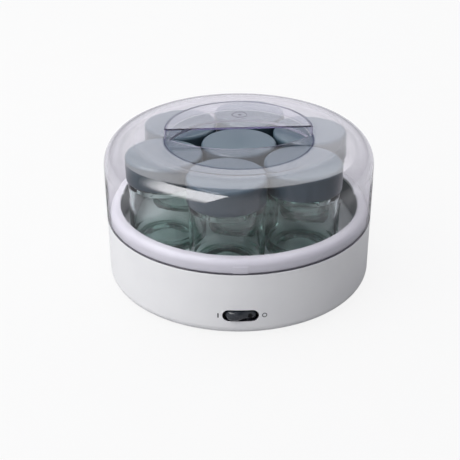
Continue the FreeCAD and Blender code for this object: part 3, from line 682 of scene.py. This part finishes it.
# %% Define how a piece is finished
def finish_piece(name, shape, material, body, replaces=None, sharp=32):
    """Closes a new piece, gives it its finish and puts it on its body."""
    bmesh.ops.remove_doubles(shape, verts=shape.verts, dist=MERGE)
    bmesh.ops.recalc_face_normals(shape, faces=shape.faces)
    open_edges = sum(not edge.is_manifold for edge in shape.edges)
    for face in shape.faces:
        face.smooth = True
    piece = mesh_object(name, shape)
    piece.data.set_sharp_from_angle(angle=math.radians(sharp))
    piece.data.materials.append(material)
    weigh = piece.modifiers.new("even_shading", "WEIGHTED_NORMAL")
    weigh.keep_sharp = True
    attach(piece, body)
    if replaces:
        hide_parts(replaces)
    print(name, len(piece.data.polygons), "faces", open_edges, "open edges")
    return piece


def points_of(geometry):
    return [part for part in geometry if isinstance(part, bmesh.types.BMVert)]


def edges_of(geometry):
    return [part for part in geometry if isinstance(part, bmesh.types.BMEdge)]


print("finishing ready")

# %% [markdown]
# ## Dome lid
# The dome is one clear moulding: a straight wall, a wide shoulder, and a top that slopes gently into
# a round recess. A sheet with a Solidify modifier would be quicker, but its free edges would stay
# square. The wall is turned with its true thickness, because the refraction needs both faces. The
# floor of the recess is left open on the lathe, because the opening in it isn't round.

# %% Turn the dome
BODY_R = 120.0
LEDGE_Z = 61.0
DOME_Z = 134.5
DOME_T = 2.2
SHOULDER = 25.0
RECESS_R = 66.0
RECESS_Z = 129.5
SLOPE_R = 89.0                      # where the slope leaves the top, before the rounding
SLOPE_ROUND = 37.2
SLOPE_SHIFT = 0.24                  # keeps the slope's thickness even
OPEN_R = 63.0                       # floor that the lathe leaves open
FOOT_ROUND = 0.5
DOME_STEPS = 160
SLACK = 0.01                        # for finding points by their place

shape = bmesh.new()
draw_profile(shape, [
    (BODY_R, LEDGE_Z, FOOT_ROUND), (BODY_R, DOME_Z, SHOULDER), (SLOPE_R, DOME_Z, SLOPE_ROUND),
    (RECESS_R, RECESS_Z, 0), (OPEN_R, RECESS_Z, 0), (0, RECESS_Z, 0),
    (0, RECESS_Z - DOME_T, 0), (OPEN_R, RECESS_Z - DOME_T, 0),
    (RECESS_R + SLOPE_SHIFT, RECESS_Z - DOME_T, DOME_T),
    (SLOPE_R + SLOPE_SHIFT, DOME_Z - DOME_T, SLOPE_ROUND - DOME_T),
    (BODY_R - DOME_T, DOME_Z - DOME_T, SHOULDER - DOME_T), (BODY_R - DOME_T, LEDGE_Z, FOOT_ROUND),
])
inner = [e for e in shape.edges if all(v.co.x < (OPEN_R + SLACK) * MM for v in e.verts)]
bmesh.ops.delete(shape, geom=shape.faces[:], context="FACES_ONLY")
bmesh.ops.delete(shape, geom=inner, context="EDGES")
spin_outline(shape, DOME_STEPS)
gap = [e for e in shape.edges if e.is_boundary]
upper_gap = [e for e in gap if e.verts[0].co.z > (RECESS_Z - SLACK) * MM]
lower_gap = [e for e in gap if e not in upper_gap]
print("open rings", len(upper_gap), len(lower_gap))

# %% [markdown]
# ## Finger opening
# Fingers reach through the floor of the recess to hook under the grip. The opening is lens-shaped:
# two arcs that meet in its tips. A boolean cut would do, but its points fall where they may. So each
# arc is spun from the left tip in even steps, the floor is filled between the arcs and the open ring,
# and the arcs are pulled down to make the wall. The wall is a cut face: it gets the frosted finish,
# whose pale film is partly a painted highlight.

# %% Cut the finger opening
OPENING_TIP = 61.8                  # from the middle to each tip
OPENING_FRONT = 24.0                # from the middle to each arc
OPENING_BACK = 41.0
OPENING_STEPS = 48
FROSTED = 1                         # second material of the dome and of the grip
LID_TURN = 3                        # degrees
TOUCH = 1e-6                        # metres, between points that are meant to meet
lid_turn = Matrix.Rotation(math.radians(LID_TURN), 3, "Z")

for side, bow in ((-1, OPENING_FRONT), (1, OPENING_BACK)):
    arc_r = (OPENING_TIP ** 2 + bow ** 2) / (2 * bow)
    tip = shape.verts.new((-OPENING_TIP * MM, 0, RECESS_Z * MM))
    bmesh.ops.spin(shape, geom=[tip], cent=(0, side * (bow - arc_r) * MM, RECESS_Z * MM), axis=(0, 0, 1),
                   angle=-side * 2 * math.asin(OPENING_TIP / arc_r), steps=OPENING_STEPS)
bmesh.ops.remove_doubles(shape, verts=[v for v in shape.verts if not v.link_faces], dist=TOUCH)
opening_rim = [e for e in shape.edges if e.is_wire]
bmesh.ops.rotate(shape, verts=[v for v in shape.verts if not v.link_faces], cent=(0, 0, 0), matrix=lid_turn)
bmesh.ops.triangle_fill(shape, use_beauty=True, edges=upper_gap + opening_rim)
wall = bmesh.ops.extrude_edge_only(shape, edges=opening_rim)["geom"]
for face in [part for part in wall if isinstance(part, bmesh.types.BMFace)]:
    face.material_index = FROSTED
bmesh.ops.translate(shape, verts=points_of(wall), vec=(0, 0, -DOME_T * MM))
bmesh.ops.triangle_fill(shape, use_beauty=True, edges=lower_gap + edges_of(wall))
dome = finish_piece("clear_dome_lid", shape, clear_dome, "dome", "dome_lid")
dome.data.materials.append(frosted_edge_and_highlight)

# %% [markdown]
# ## Half-moon grip
# The grip is a half-round plate on a skirt, bonded into the back half of the recess. It could be cut
# from a full turning. Spinning the filled profile by half a turn gives the plate, the skirt and both
# flat ends at once. The front edge is then bevelled, because fingers pull there.

# %% Turn the grip
GRIP_R = 65.7
GRIP_Z = 139.5
GRIP_T = 1.7
GRIP_ROUND = 0.8
GRIP_FRONT_ROUND = 0.75
BOND = 0.15                         # gap between the skirt and the floor of the recess
GRIP_STEPS = 80
plate_low = GRIP_Z - GRIP_T

shape = bmesh.new()
draw_profile(shape, [
    (0, plate_low, 0), (GRIP_R - GRIP_T, plate_low, GRIP_ROUND), (GRIP_R - GRIP_T, RECESS_Z + BOND, 0),
    (GRIP_R, RECESS_Z + BOND, 0), (GRIP_R, GRIP_Z, GRIP_ROUND), (0, GRIP_Z, 0),
])
bmesh.ops.spin(shape, geom=shape.verts[:] + shape.edges[:] + shape.faces[:], cent=(0, 0, 0), axis=(0, 0, 1),
               angle=math.pi, steps=GRIP_STEPS)
bmesh.ops.remove_doubles(shape, verts=shape.verts, dist=MERGE)
bmesh.ops.dissolve_edges(shape, edges=[e for e in shape.edges if on_axis(e)])
front = [e for e in shape.edges if all(abs(v.co.y) < TOUCH for v in e.verts)]
bmesh.ops.bevel(shape, geom=front, offset=GRIP_FRONT_ROUND * MM, affect="EDGES", segments=5, profile=0.5,
                material=-1)
for face in shape.faces:
    centre = face.calc_center_median()
    face.material_index = FROSTED * int(centre.y < GRIP_ROUND * MM and centre.z < plate_low * MM)
bmesh.ops.rotate(shape, verts=shape.verts, cent=(0, 0, 0), matrix=lid_turn)
grip = finish_piece("half_moon_grip", shape, clear_grip, "dome", "lid_grip")
grip.data.materials.append(frosted_edge_and_highlight)

# %% [markdown]
# ## Gate mark
# Moulding leaves a small mark where the plastic flowed in: here a ring with a dot under the half moon.
# A bump in the material could hint at it, but through clear plastic a bump hardly shows. So both
# are turned on the lathe, rooted in the plate, and moved to their place.

# %% Add the gate mark
GATE_R = 7.0
GATE_W = 0.7
GATE_DOT = 1.5
GATE_PLACE = (2.6, 32.0)
GATE_ROOT = 0.3                     # height inside the plate
RING_DROP = 0.4                     # depth below the plate
DOT_DROP = 0.6
RING_ROUND = 0.2
DOT_ROUND = 0.4
GATE_STEPS = 48
root = plate_low + GATE_ROOT

shape = bmesh.new()
draw_profile(shape, [
    (GATE_R, root, 0), (GATE_R, plate_low - RING_DROP, RING_ROUND),
    (GATE_R - GATE_W, plate_low - RING_DROP, RING_ROUND), (GATE_R - GATE_W, root, 0),
])
draw_profile(shape, [
    (0, root, 0), (GATE_DOT, root, 0), (GATE_DOT, plate_low - DOT_DROP, DOT_ROUND),
    (0, plate_low - DOT_DROP, 0),
])
spin_outline(shape, GATE_STEPS)
gate_place = Vector((GATE_PLACE[0] * MM, GATE_PLACE[1] * MM, 0))
bmesh.ops.translate(shape, verts=shape.verts, vec=lid_turn @ gate_place)
finish_piece("gate_mark", shape, gate_clear, "dome")

# %% [markdown]
# ## Glass jars
# Seven equal jars stand in the tub. They could share one mesh as linked copies, but every piece here
# has its place in its own mesh, so the jar is turned once and each copy is moved. Pressed glass is
# thick at the heel and arched under the foot, which draws the dark rings at the bottom, and a ring
# of small dimples under the foot sparkles through the wall.

# %% Turn a jar
JAR_R = 32.2
NECK_R = 30.9
BORE_R = 28.8
JAR_H = 79.7
SHOULDER_LOW = 55.4
SHOULDER_HIGH = 58.2
SHOULDER_ROUND = 2.6
NECK_ROUND = 1.0
LIP_ROUND = 0.8
HEEL_ROUND = 7
FOOT_EDGE = 0.4
FOOT_R = 22                         # inner side of the ring that the jar stands on
ARCH_H = 2.6
ARCH_BEND = (13, 2.0, 20)           # radius, height and rounding half way along the arch
FLOOR_H = 5.4
FLOOR_CORNER = 10                   # rounding between the floor inside and the bore
FLOOR_BEND = (10, FLOOR_H, 20)      # where the floor starts to swell
FLOOR_RISE = 1.0                    # how much it swells in the middle
JAR_STEPS = 96                      # also the number of dimples
DIMPLE_RING = (22.5, 25)
DIMPLE_INSET = 0.45
DIMPLE_DEPTH = 0.35

blank = bmesh.new()
draw_profile(blank, [
    (0, ARCH_H, 0), ARCH_BEND, (FOOT_R, 0, FOOT_EDGE), (JAR_R, 0, HEEL_ROUND),
    (JAR_R, SHOULDER_LOW, SHOULDER_ROUND), (NECK_R, SHOULDER_HIGH, NECK_ROUND),
    (NECK_R, JAR_H, LIP_ROUND), (BORE_R, JAR_H, LIP_ROUND),
    (BORE_R, FLOOR_H, FLOOR_CORNER), FLOOR_BEND, (0, FLOOR_H + FLOOR_RISE, 0),
])
spin_outline(blank, JAR_STEPS)
bmesh.ops.recalc_face_normals(blank, faces=blank.faces)
underside = [f for f in blank.faces if f.normal.z < -0.99]
dimples = [f for f in underside if DIMPLE_RING[0] < f.calc_center_median().xy.length / MM < DIMPLE_RING[1]]
bmesh.ops.inset_individual(blank, faces=dimples, thickness=DIMPLE_INSET * MM, depth=-DIMPLE_DEPTH * MM)
print("dimples in each foot", len(dimples))

# %% [markdown]
# ## Places of the jars
# Six jars stand in a ring and one in the middle. Their places could be read from the boxes of the
# solids, but a ring is clearer as an angle and a step, and it is the same ring that the seats of the
# tub follow.

# %% Set the jars in the tub
JAR_FOOT_Z = 43.0
JAR_RING_R = 69.5
JAR_START = -99                     # angle of the jar in front, in degrees
JAR_STEP = 60

outer = Vector((JAR_RING_R, 0, JAR_FOOT_Z))
places = [Matrix.Rotation(math.radians(JAR_START + JAR_STEP * i), 3, "Z") @ outer for i in range(6)]
places.append(Vector((0, 0, JAR_FOOT_Z)))
for number, place in enumerate(places, 1):
    shape = blank.copy()
    bmesh.ops.translate(shape, verts=shape.verts, vec=place * MM)
    finish_piece(f"glass_jar_{number}", shape, jar_glass, f"jar_{number}", f"jar_{number}")
blank.free()

# %% [markdown]
# ## Rocker
# The rocker is a smooth pill with one crest left of its middle, tipped to off, so that the crest stands
# proud and catches the light. A grid is a good start for such a face, because it has points
# everywhere: its ends are drawn in to half rounds, each point is pushed to the height of the face,
# and the border is pulled back to make the sides.

# %% Shape the rocker
PIVOT = Vector((0, -113.5, 21.3))
ROCKER_TILT = 8                     # degrees
HALF_LENGTH = 13.5
HALF_HEIGHT = 4.6
FLAT = 6.9                          # the face right of the crest, in front of the pivot
CREST = 9.0
CREST_X = -4.5
CREST_WIDTH = 5
TIP = 5.6                           # the left end of the face
TIP_FALL = 1.4                      # how the face falls from the crest to the tip: 1 is straight
EDGE = 4.0
REAR = 1.5
straight = HALF_LENGTH - HALF_HEIGHT


def face_height(x):
    """The face in front of the pivot: a soft bump on the right of the crest, a fall on its left."""
    if x > CREST_X:
        return FLAT + (CREST - FLAT) * math.exp(-((x - CREST_X) / CREST_WIDTH) ** 2)
    return CREST + (TIP - CREST) * ((CREST_X - x) / (HALF_LENGTH + CREST_X)) ** TIP_FALL


shape = bmesh.new()
bmesh.ops.create_grid(shape, x_segments=36, y_segments=14, size=1)
for vert in shape.verts:
    x = vert.co.x * (straight + HALF_HEIGHT * math.sqrt(1 - min(1, vert.co.y ** 2)))
    z = vert.co.y * HALF_HEIGHT
    rim = math.hypot(max(abs(x) - straight, 0), z) - (HALF_HEIGHT - EDGE)
    drop = EDGE - math.sqrt(EDGE ** 2 - min(max(rim, 0), EDGE) ** 2)
    vert.co = Vector((x, drop - face_height(x), z)) * MM
skirt = bmesh.ops.extrude_edge_only(shape, edges=[e for e in shape.edges if e.is_boundary])["geom"]
for vert in points_of(skirt):
    vert.co.y = -REAR * MM
bmesh.ops.triangle_fill(shape, use_beauty=True, edges=edges_of(skirt))
tilt = Matrix.Rotation(math.radians(ROCKER_TILT), 3, "Z")
bmesh.ops.rotate(shape, verts=shape.verts, cent=(0, 0, 0), matrix=tilt)
bmesh.ops.translate(shape, verts=shape.verts, vec=PIVOT * MM)
finish_piece("switch_rocker", shape, black_switch, "rocker", "rocker", sharp=60)

# %% [markdown]
# ## Marks beside the switch
# A bar for on and a ring for off are printed on the wall. They could be painted by a material, but
# print has crisp edges that a noise mask lacks. So each is a thin flat shape that is laid on the
# round wall, a few hundredths of a millimetre proud.

# %% Print the marks
MARK_Z = 21.1
MARK_T = 0.04
MARK_LIFT = 0.03
BAR_SIZE = (1.1, 4.2, 1)
BAR_X = -18.7
OFF_R = 2.15
OFF_W = 0.75
OFF_X = 19.9


def lay_on_wall(name, shape, x):
    """Stands a flat mark upright, moves it beside the switch and bends it round the wall."""
    bmesh.ops.rotate(shape, verts=shape.verts, cent=(0, 0, 0), matrix=Matrix.Rotation(math.pi / 2, 3, "X"))
    bmesh.ops.translate(shape, verts=shape.verts, vec=(x * MM, 0, MARK_Z * MM))
    for vert in shape.verts:
        vert.co.y = -math.sqrt((BODY_R * MM) ** 2 - vert.co.x ** 2) - MARK_LIFT * MM
    bmesh.ops.solidify(shape, geom=shape.faces[:], thickness=MARK_T * MM)
    finish_piece(name, shape, mark_ink, "base")


mark_ink = moulded("mark_ink", (0.035, 0.035, 0.04), (0.05, 0.05, 0.056), gloss=0.45, grain_size=0.2,
                   grain_depth=0.002)
shape = bmesh.new()
bmesh.ops.create_grid(shape, x_segments=2, y_segments=6, size=0.5 * MM)
bmesh.ops.scale(shape, verts=shape.verts, vec=BAR_SIZE)
lay_on_wall("on_mark", shape, BAR_X)

shape = bmesh.new()
bmesh.ops.create_circle(shape, cap_ends=True, radius=OFF_R * MM, segments=48)
bmesh.ops.inset_region(shape, faces=shape.faces[:], use_boundary=True, use_even_offset=True,
                       thickness=OFF_W * MM)
bmesh.ops.delete(shape, geom=[f for f in shape.faces if len(f.verts) > 4], context="FACES")
lay_on_wall("off_mark", shape, OFF_X)

# %% [markdown]
# ## Metals inside the base
# What works inside the base stays as solids. It shows only through the vents, or when somebody takes
# the part to pieces, but each piece has its own stuff. Polished metal would look like chrome, so
# the metals get streaks along one direction, a little tarnish and a roughness that wanders.


# %% Finish the metal pieces
TARNISH_SIZE = 6                    # millimetres
STREAK_ROUGH = 0.15                 # how much the roughness differs between streaks
STREAK_DEPTH = 0.01                 # millimetres


def metal(name, colour, tarnish, roughness, streak_size, stretch):
    """Metal with streaks along one direction and a little tarnish."""
    material, bench = new_finish(name)
    place = own_place(bench)
    streak = grain(bench, place, streak_size, 4, stretch)
    cloud = between(bench, grain(bench, place, TARNISH_SIZE, 3), 0.45, 0.8)
    close_finish(bench, bench.node("ShaderNodeBsdfPrincipled", {
        "Base Color": blend_colours(bench, cloud, (*colour, 1), (*tarnish, 1)),
        "Metallic": 1.0,
        "Roughness": roughness + STREAK_ROUGH * streak,
        "Normal": relief(bench, streak, STREAK_DEPTH),
    }))
    return material


screw_steel = metal("screw_steel", (0.55, 0.55, 0.56), (0.4, 0.4, 0.41), roughness=0.25, streak_size=0.6,
                    stretch=(1, 1, 0.1))
plate_aluminium = metal("plate_aluminium", (0.78, 0.78, 0.79), (0.66, 0.66, 0.68), roughness=0.3,
                        streak_size=0.5, stretch=(0.05, 1, 1))
fuse_case = metal("fuse_case", (0.7, 0.7, 0.68), (0.5, 0.5, 0.48), roughness=0.22, streak_size=0.4,
                  stretch=(0.1, 1, 1))
blade_brass = metal("blade_brass", (0.78, 0.58, 0.24), (0.6, 0.42, 0.16), roughness=0.28, streak_size=0.5,
                    stretch=(1, 0.1, 1))
dress(screw_steel, "cover_screws", "switch_screws", "fuse_clip")
dress(plate_aluminium, "heating_plate")
dress(fuse_case, "thermal_fuse")
dress(blade_brass, "switch_terminals")
print("metals on screws, clip, plate, fuse and blades")

# %% [markdown]
# ## Other stuff inside the base
# The heater is red silicone, the control and the switch are dark resin, the block is nylon and the
# leads have fibre sleeves. The lens in the rocker is a matt black window. All of them are close
# enough to a moulding to use the same function, with a coarser or finer grain.

# %% Finish the other inner pieces
heater_silicone = moulded("heater_silicone", (0.42, 0.12, 0.06), (0.36, 0.095, 0.05), gloss=0.55,
                          grain_size=0.9, grain_depth=0.03)
black_resin = moulded("black_resin", (0.03, 0.028, 0.027), (0.02, 0.019, 0.019), gloss=0.4, grain_size=0.4,
                      grain_depth=0.01)
block_nylon = moulded("block_nylon", (0.7, 0.69, 0.64), (0.64, 0.63, 0.58), gloss=0.4, grain_size=0.5,
                      grain_depth=0.005)
lens_black = moulded("lens_black", (0.008, 0.008, 0.009), (0.012, 0.012, 0.013), gloss=0.5, grain_size=0.3,
                     grain_depth=0.001, shine=0.05)
lead_sleeve = moulded("lead_sleeve", (0.6, 0.58, 0.54), (0.5, 0.48, 0.45), gloss=0.5, grain_size=0.5,
                      grain_depth=0.02)
dress(heater_silicone, "heater_mat")
dress(black_resin, "thermostat", "switch_body")
dress(block_nylon, "terminal_block")
dress(lens_black, "pilot_lens")
dress(lead_sleeve, "lead_live", "lead_switched", "lead_thermostat", "lead_heater", "lead_neutral")
print("finishes on heater, thermostat, switch, block, lens and leads")
